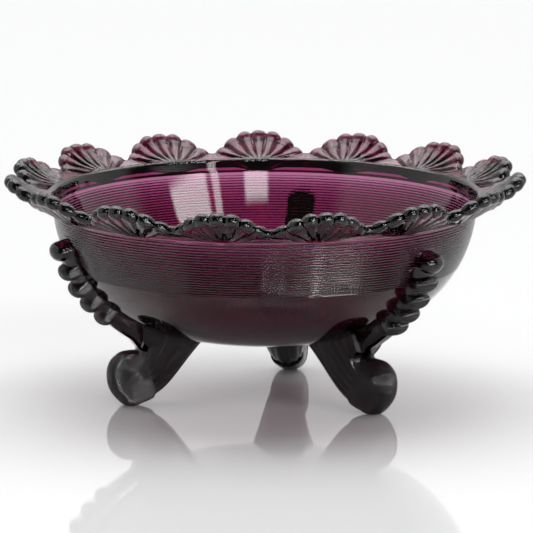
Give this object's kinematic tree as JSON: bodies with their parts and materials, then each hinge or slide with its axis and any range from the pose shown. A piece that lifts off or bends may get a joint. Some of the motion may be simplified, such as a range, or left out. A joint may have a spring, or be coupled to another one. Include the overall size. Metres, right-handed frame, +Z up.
{
  "type": "footed glass bowl",
  "caption": "Round pressed glass bowl with a finely threaded wall, a rim of fluted shell fans with beaded edges, and curled scroll feet with ribbed knuckle bands.",
  "frame": {"origin": "on the bowl's axis at the level of the surface the feet stand on", "axes": "+Z up along the bowl's axis; -Y through the middle of a shell fan, half way between two legs; +Y over the third leg"},
  "size_m": [0.2336, 0.2331, 0.1032],
  "materials": {
    "amethyst_glass": "clear deep amethyst, fire polished"
  },
  "bodies": {
    "root": {"bowl_floor": "amethyst_glass", "bowl_side": "amethyst_glass", "bowl_shoulder": "amethyst_glass", "threaded_wall": "amethyst_glass", "rim_lip": "amethyst_glass", "shell_fan_01": "amethyst_glass", "shell_fan_02": "amethyst_glass", "shell_fan_03": "amethyst_glass", "shell_fan_04": "amethyst_glass", "shell_fan_05": "amethyst_glass", "shell_fan_06": "amethyst_glass", "shell_fan_07": "amethyst_glass", "shell_fan_08": "amethyst_glass", "shell_fan_09": "amethyst_glass", "shell_fan_10": "amethyst_glass", "shell_fan_11": "amethyst_glass", "shell_fan_12": "amethyst_glass", "shell_fan_13": "amethyst_glass", "shell_fan_14": "amethyst_glass", "shell_fan_15": "amethyst_glass", "leg_1": "amethyst_glass", "leg_2": "amethyst_glass", "leg_3": "amethyst_glass", "scroll_foot_1": "amethyst_glass", "scroll_foot_2": "amethyst_glass", "scroll_foot_3": "amethyst_glass", "knuckle_band_1": "amethyst_glass", "knuckle_band_2": "amethyst_glass", "knuckle_band_3": "amethyst_glass"}
  },
  "joints": []
}
